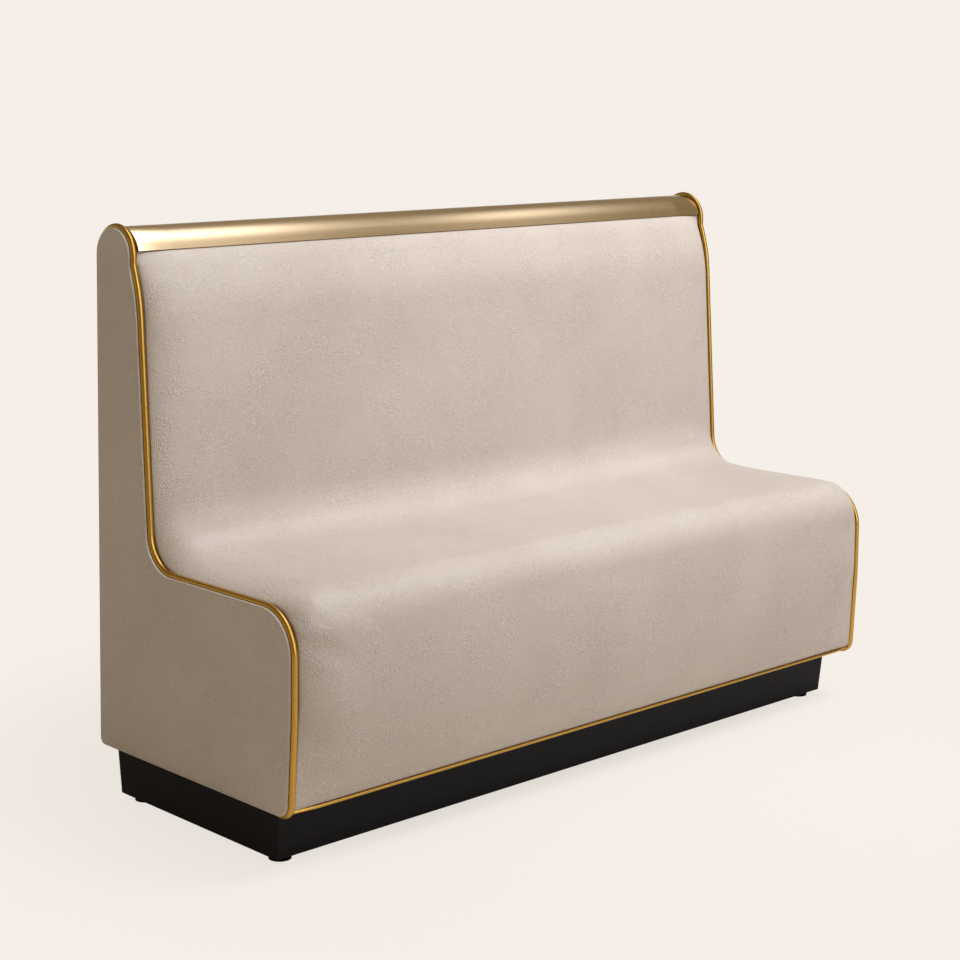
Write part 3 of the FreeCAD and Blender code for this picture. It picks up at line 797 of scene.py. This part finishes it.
def crown_face(bm, outer_x, side):
    """Moves the face outwards, more the further it is from the rim."""
    rim = [vertex.co.copy() for vertex in bm.verts if abs(vertex.co.x - outer_x) < RIM_RADIUS * MM / 2]
    tree = KDTree(len(rim))
    for index, point in enumerate(rim):
        tree.insert(point, index)
    tree.balance()
    low, high = place(0, 0), place(FRONT_FORWARD, DOME_TOP_UP)
    for axis, start, end in ((1, high.y, low.y), (2, low.z, high.z)):
        normal = Vector((0, 1, 0)) if axis == 1 else Vector((0, 0, 1))
        for cut in range(1, round((end - start) / (CROWN_GRID * MM))):
            face_geometry = [face for face in bm.faces if abs(face.normal.x) > 0.99
                             and abs(face.calc_center_median().x - outer_x) < TOLERANCE]
            geometry = set(face_geometry)
            for face in face_geometry:
                geometry.update(face.edges)
                geometry.update(face.verts)
            point = normal * (start + CROWN_GRID * MM * cut)
            bmesh.ops.bisect_plane(bm, geom=list(geometry), plane_co=point, plane_no=normal)
    for vertex in bm.verts:
        if abs(vertex.co.x - outer_x) < TOLERANCE:
            _, _, distance = tree.find(vertex.co)
            rise = 1 - math.exp(-2 * distance / (CROWN_REACH * MM))
            vertex.co.x += side * PANEL_CROWN * MM * rise


def make_end_panel(name, node, side):
    """The padded face of one end."""
    path = rounded_path(panel_corners())
    counts = steps_along(path, PANEL_RUN_STEP * MM, FINE_BEND_STEP)
    bm = bmesh.new()
    sweep(bm, [bm.verts.new(path[0][0])], path, counts)
    bmesh.ops.remove_doubles(bm, verts=bm.verts, dist=MM / 20)
    bmesh.ops.contextual_create(bm, geom=bm.edges[:])
    inner_x = side * (HALF_LENGTH - PANEL_FOAM) * MM
    outer_x = side * HALF_LENGTH * MM
    bmesh.ops.translate(bm, verts=bm.verts, vec=(inner_x, 0, 0))
    drawn = bmesh.ops.extrude_face_region(bm, geom=bm.faces[:])
    raised = [item for item in drawn["geom"] if isinstance(item, bmesh.types.BMVert)]
    bmesh.ops.translate(bm, verts=raised, vec=(outer_x - inner_x, 0, 0))
    bmesh.ops.recalc_face_normals(bm, faces=bm.faces)
    rim = [edge for edge in bm.edges
           if all(abs(vertex.co.x - outer_x) < TOLERANCE for vertex in edge.verts)]
    bmesh.ops.bevel(bm, geom=rim, offset=RIM_RADIUS * MM, offset_type="OFFSET", segments=6, profile=0.5,
                    affect="EDGES", material=-1)
    crown_face(bm, outer_x, side)
    panel = finish_piece(name, bm, vinyl, sharp_degrees=50.0)
    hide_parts(node)
    return panel


end_panels = [make_end_panel("end_panel_left", "end_cover_left", -1),
              make_end_panel("end_panel_right", "end_cover_right", 1)]
print("End panels:", [len(panel.data.polygons) for panel in end_panels], "faces")

# %% [markdown]
# The strip round the board's edge is a flat ribbon of vinyl. A short row of edges across the
# board's thickness is drawn along the same outline, inside the piping.

# %% The wrap under the piping
WRAP_INSET = 6.3
WRAP_THICKNESS = 1.2
WRAP_PAD_GAP = 0.3
WRAP_RUN_STEP = 60.0
WRAP_BEND_STEP = math.radians(9)


def make_wrap(name, side):
    """The vinyl that covers an end board's edge, under the piping."""
    path = rounded_path(offset_corners(edge_corners(), -WRAP_INSET - WRAP_THICKNESS / 2))
    counts = steps_along(path, WRAP_RUN_STEP * MM, WRAP_BEND_STEP)
    bm = bmesh.new()
    first = bm.verts.new(path[0][0] + Vector((side * (PAD_HALF + WRAP_PAD_GAP) * MM, 0, 0)))
    second = bm.verts.new(path[0][0] + Vector((side * (HALF_LENGTH - PANEL_FOAM) * MM, 0, 0)))
    edge = bm.edges.new((first, second))
    sweep(bm, [first, second, edge], path, counts)
    bmesh.ops.recalc_face_normals(bm, faces=bm.faces)
    bmesh.ops.solidify(bm, geom=bm.faces[:], thickness=WRAP_THICKNESS * MM)
    return finish_piece(name, bm, vinyl)


for side, name in ((-1, "wrap_left"), (1, "wrap_right")):
    make_wrap(name, side)
print("Wraps made")

# %% [markdown]
# The brass rail is sheet metal bent to a half round, with lips that turn in underneath. One vertex
# is drawn along the lip, round the top and along the other lip, the line is drawn out along the
# bench, and Solidify gives the sheet its thickness. Its cut ends get a small bevel that catches
# the light.

# %% The brass rail
RAIL_RADIUS = 52.5
RAIL_WALL = 2.0
RAIL_HALF = 757.0
LIP_RISE = 11.8
LIP_REACH = 7.0
RAIL_CENTRE = (52.5, 901.5)
RAIL_BEND_STEPS = 72
RAIL_RUN_STEPS = 20
CUT_END_BEVEL = 0.7


def rail_path():
    """Lip, half round and lip, on the outside of the sheet."""
    half_width = math.sqrt(RAIL_RADIUS ** 2 - LIP_RISE ** 2)
    forward, up = RAIL_CENTRE
    lip = up + LIP_RISE
    slot_half = half_width - LIP_REACH
    rear, front = place(forward - half_width, lip), place(forward + half_width, lip)
    rear_lip, front_lip = place(forward - slot_half, lip), place(forward + slot_half, lip)
    over = math.pi - 2 * math.asin(LIP_RISE / RAIL_RADIUS)
    return [
        (rear_lip, rear, None, 0.0),
        (rear, front, place(forward, up), over),
        (front, front_lip, None, 0.0),
    ]


def make_rail():
    """The half-round brass rail."""
    bm = bmesh.new()
    path = rail_path()
    sweep(bm, [bm.verts.new(path[0][0])], path, [1, RAIL_BEND_STEPS, 1])
    bmesh.ops.translate(bm, verts=bm.verts, vec=(-RAIL_HALF * MM, 0, 0))
    bmesh.ops.spin(bm, geom=bm.verts[:] + bm.edges[:], cent=(0, 0, 0), axis=(1, 0, 0),
                   dvec=(2 * RAIL_HALF / RAIL_RUN_STEPS * MM, 0, 0), angle=0.0, steps=RAIL_RUN_STEPS)
    bmesh.ops.recalc_face_normals(bm, faces=bm.faces)
    rail = finish_piece("rail", bm, brass, sharp_degrees=40.0)
    top = max(rail.data.polygons, key=lambda face: face.center.z)
    print("The top of the rail looks towards", top.normal)
    sheet = rail.modifiers.new("sheet", "SOLIDIFY")
    sheet.thickness = RAIL_WALL * MM
    sheet.offset = -1.0 if top.normal.z > 0 else 1.0
    sheet.use_even_offset = True
    ends = rail.modifiers.new("cut_ends", "BEVEL")
    ends.width = CUT_END_BEVEL * MM
    ends.segments = 2
    ends.limit_method = "ANGLE"
    ends.angle_limit = math.radians(50)
    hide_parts("cap_rail")
    return rail


rail = make_rail()
print("Rail:", len(rail.data.polygons), "faces")

# %% [markdown]
# The floor is plain and pale, and it only has to show the bench's soft shadow. Close to the bench
# it is part matt paint, which takes the shadow, and part plain light. Further out it fades into the
# colour of the backdrop, so that no horizon shows. The light paths keep that plain light to what
# the camera sees, and let the floor throw a little less light back up at the bench.

# %% Floor
BACKDROP = "#F5EFE8"
FLOOR_RADIUS = 14.0
FLOOR_SIDES = 96
FLOOR_FADE = stretch(0.5, 1.3, 0.8, 1.0)


def seen_directly(tree):
    """1 for what the camera sees itself, or sees mirrored or through glass."""
    light_path = add_node(tree, "ShaderNodeLightPath")
    mirrored = add_node(tree, "ShaderNodeMath", {"operation": "ADD"},
                        {0: light_path.outputs["Is Camera Ray"], 1: light_path.outputs["Is Glossy Ray"]})
    total = add_node(tree, "ShaderNodeMath", {"operation": "ADD", "use_clamp": True},
                     {0: mirrored.outputs["Value"], 1: light_path.outputs["Is Transmission Ray"]})
    return total.outputs["Value"]


def make_floor_paint():
    """Pale matt paint that fades into the plain colour of the backdrop."""
    material, tree, shader, coordinates = new_material("pale_floor_paint", 0.9)
    shader.inputs["Specular IOR Level"].default_value = 0.0
    paint = add_node(tree, "ShaderNodeMix", two_colours("#D2CCC4", "#F1EBE4"), {0: seen_directly(tree)})
    tree.links.new(paint.outputs[2], shader.inputs["Base Color"])
    plain = add_node(tree, "ShaderNodeEmission", {"Color": linear(BACKDROP), "Strength": 1.0})
    distance = add_node(tree, "ShaderNodeVectorMath", {"operation": "LENGTH"}, {0: coordinates})
    fade = add_node(tree, "ShaderNodeMapRange", FLOOR_FADE, {"Value": distance.outputs["Value"]})
    camera_ray = add_node(tree, "ShaderNodeLightPath").outputs["Is Camera Ray"]
    share = add_node(tree, "ShaderNodeMath", {"operation": "MULTIPLY"},
                     {0: camera_ray, 1: fade.outputs["Result"]})
    mix = add_node(tree, "ShaderNodeMixShader", (),
                   {0: share.outputs["Value"], 1: shader.outputs["BSDF"], 2: plain.outputs["Emission"]})
    tree.links.new(mix.outputs["Shader"], tree.nodes["Material Output"].inputs["Surface"])
    return material


def make_floor():
    """A round pale floor under the bench."""
    bm = bmesh.new()
    bmesh.ops.create_circle(bm, cap_ends=True, radius=FLOOR_RADIUS, segments=FLOOR_SIDES)
    mesh = bpy.data.meshes.new("floor")
    bm.to_mesh(mesh)
    bm.free()
    floor = bpy.data.objects.new("floor", mesh)
    bpy.context.scene.collection.objects.link(floor)
    give_material(floor, make_floor_paint())
    return floor


print("Floor:", make_floor().dimensions.x, "m across")

# %% [markdown]
# The room lights the bench evenly and a little warmly from all sides. The camera sees a pale
# backdrop. Metal mirrors that backdrop low behind the bench. Elsewhere it mirrors a darker room
# with two tall, soft lamps at the right, which give the rail a dark top and two bright stretches.
# The lamps fade out towards their rims, and the near one has a brighter core for the vinyl's sheen.
# A dimmer strip in front of the bench gives the upright piping its highlight.
# They are drawn by the direction's part along the bench, and by the angle at which it rises from
# the front over the bench. Each lamp is the product of the fades of its rims.

# %% The room
AMBIENT = 0.33
ROOM_TINT = (1.14, 0.98, 0.77)
ROOM = "#8E8371"
MIRRORED_LAMP = (2.75, 2.85, 3.4)
LAMP_CORE = 1.6
BEHIND = stretch(-0.1, 0.3)
LOW_DOWN = stretch(0.1, 0.25, 1.0, 0.0)
RISE_RIMS = [stretch(math.radians(118), math.radians(80), kind="SMOOTHSTEP"),
             stretch(math.radians(45), math.radians(74), 0.27, 1.0, "SMOOTHSTEP")]
NEAR_RIMS = [stretch(0.64, 0.595, kind="SMOOTHSTEP"),
             stretch(0.47, 0.3, 1.0, LAMP_CORE, "SMOOTHSTEP"),
             stretch(0.05, 0.25)]
FAR_RIMS = [stretch(0.68, 0.7, kind="SMOOTHSTEP"), stretch(0.725, 0.7, kind="SMOOTHSTEP")]
STRIP_RIMS = [stretch(-0.35, -0.1, kind="SMOOTHSTEP"), stretch(0.4, 0.2, kind="SMOOTHSTEP")]
IN_FRONT = stretch(0.4, 0.8)


def faded(tree, fades):
    """The product of fades, each given by a value and the settings that stretch it."""
    shares = [add_node(tree, "ShaderNodeMapRange", settings, {"Value": value}).outputs["Result"]
              for value, settings in fades]
    product = shares[0]
    for share in shares[1:]:
        both = add_node(tree, "ShaderNodeMath", {"operation": "MULTIPLY"}, {0: product, 1: share})
        product = both.outputs["Value"]
    return product


def mirrored_lamps(tree, sides):
    """How bright the two soft lamps and the strip in front look in a direction."""
    along = sides.outputs["X"]
    forward = add_node(tree, "ShaderNodeMath", {"operation": "MULTIPLY", 1: -1.0}, {0: sides.outputs["Y"]})
    rise = add_node(tree, "ShaderNodeMath", {"operation": "ARCTAN2"},
                    {0: sides.outputs["Z"], 1: forward.outputs["Value"]})
    over = [(rise.outputs["Value"], rim) for rim in RISE_RIMS]
    near = over + [(along, rim) for rim in NEAR_RIMS]
    far = over + [(along, rim) for rim in FAR_RIMS]
    strip = [(forward.outputs["Value"], IN_FRONT)] + [(along, rim) for rim in STRIP_RIMS]
    brightest = faded(tree, near)
    for lamp in (far, strip):
        brighter = add_node(tree, "ShaderNodeMath", {"operation": "MAXIMUM"},
                            {0: brightest, 1: faded(tree, lamp)})
        brightest = brighter.outputs["Value"]
    return brightest


def make_room():
    """The world: an even light, and a backdrop for the camera and for mirrored rays."""
    world = bpy.data.worlds.new("room")
    bpy.context.scene.world = world
    world.use_nodes = True
    tree = world.node_tree
    direction = add_node(tree, "ShaderNodeTexCoord").outputs["Generated"]
    sides = add_node(tree, "ShaderNodeSeparateXYZ", (), {0: direction})
    low_behind = faded(tree, [(sides.outputs["Y"], BEHIND), (sides.outputs["Z"], LOW_DOWN)])
    camera_ray = add_node(tree, "ShaderNodeLightPath").outputs["Is Camera Ray"]
    pale = add_node(tree, "ShaderNodeMath", {"operation": "MAXIMUM"}, {0: low_behind, 1: camera_ray})
    dim = add_node(tree, "ShaderNodeMix",
                   {"data_type": "RGBA", "blend_type": "ADD", "clamp_factor": False,
                    6: linear(ROOM), 7: MIRRORED_LAMP + (1.0,)},
                   {0: mirrored_lamps(tree, sides)})
    seen = add_node(tree, "ShaderNodeMix", {"data_type": "RGBA", 7: linear(BACKDROP)},
                    {0: pale.outputs["Value"], 6: dim.outputs[2]})
    light = [AMBIENT * share for share in ROOM_TINT] + [1.0]
    colour = add_node(tree, "ShaderNodeMix", {"data_type": "RGBA", 6: light},
                      {0: seen_directly(tree), 7: seen.outputs[2]})
    tree.links.new(colour.outputs[2], tree.nodes["Background"].inputs["Color"])
    return world


print("Room:", make_room().name)

# %% [markdown]
# One large lamp hangs over the front of the bench, to its right. It lights the seat and the top of
# the back most, and leaves the left end in shade. The brass doesn't mirror it, because its hard
# rim would show; it mirrors the soft lamps that are drawn on the room.

# %% The lamp
LAMP_PLACE = Vector((0.9, -1.45, 3.3))
LAMP_AIM = Vector((0.0, 0.0, 0.6))
LAMP_SIDE = 1.5
LAMP_WATTS = 107.0
LAMP_COLOUR = (0.96, 1.0, 1.09)


def add_lamp():
    """A square soft lamp that shines on the seat."""
    lamp = bpy.data.lights.new("soft_lamp", "AREA")
    lamp.size = LAMP_SIDE
    lamp.energy = LAMP_WATTS
    lamp.color = LAMP_COLOUR
    softbox = bpy.data.objects.new("soft_lamp", lamp)
    bpy.context.scene.collection.objects.link(softbox)
    softbox.location = LAMP_PLACE
    softbox.rotation_mode = "QUATERNION"
    softbox.rotation_quaternion = (LAMP_AIM - LAMP_PLACE).to_track_quat("-Z", "Y")
    softbox.visible_glossy = False
    return softbox


print("Lamp at", list(add_lamp().location))

# %% [markdown]
# The picture keeps plain colours: what a material says is what the screen shows.

# %% Colours of the picture
bpy.context.scene.view_settings.view_transform = "Standard"
